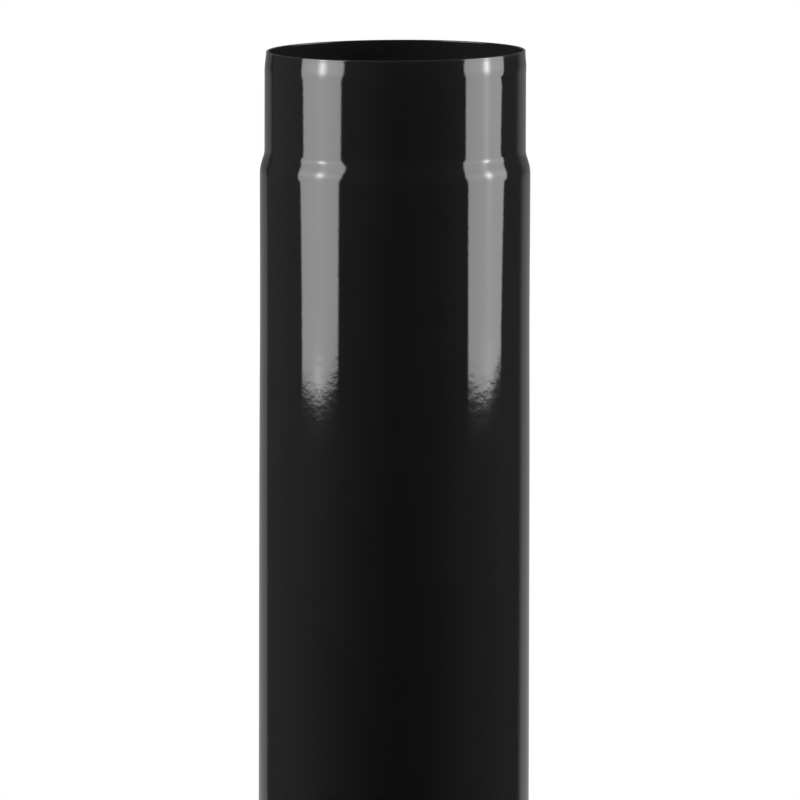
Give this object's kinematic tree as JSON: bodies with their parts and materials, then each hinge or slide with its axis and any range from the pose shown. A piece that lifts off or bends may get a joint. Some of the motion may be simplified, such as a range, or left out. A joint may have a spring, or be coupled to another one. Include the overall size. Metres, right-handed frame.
{
  "type": "stove pipe",
  "caption": "Straight length of single-wall enamelled stove pipe with a plain socket end and a swaged spigot end, for joining flue sections.",
  "frame": {"origin": "centre of the plain end's face, on the pipe's axis", "axes": "+Z along the pipe towards the spigot's rim, +Y towards the longitudinal weld, -Y towards the viewer"},
  "size_m": [0.1224, 0.1227, 0.4999],
  "materials": {
    "enamel": "gloss black vitreous enamel on rolled and welded sheet steel"
  },
  "bodies": {
    "root": {"pipe": "enamel"}
  },
  "joints": []
}
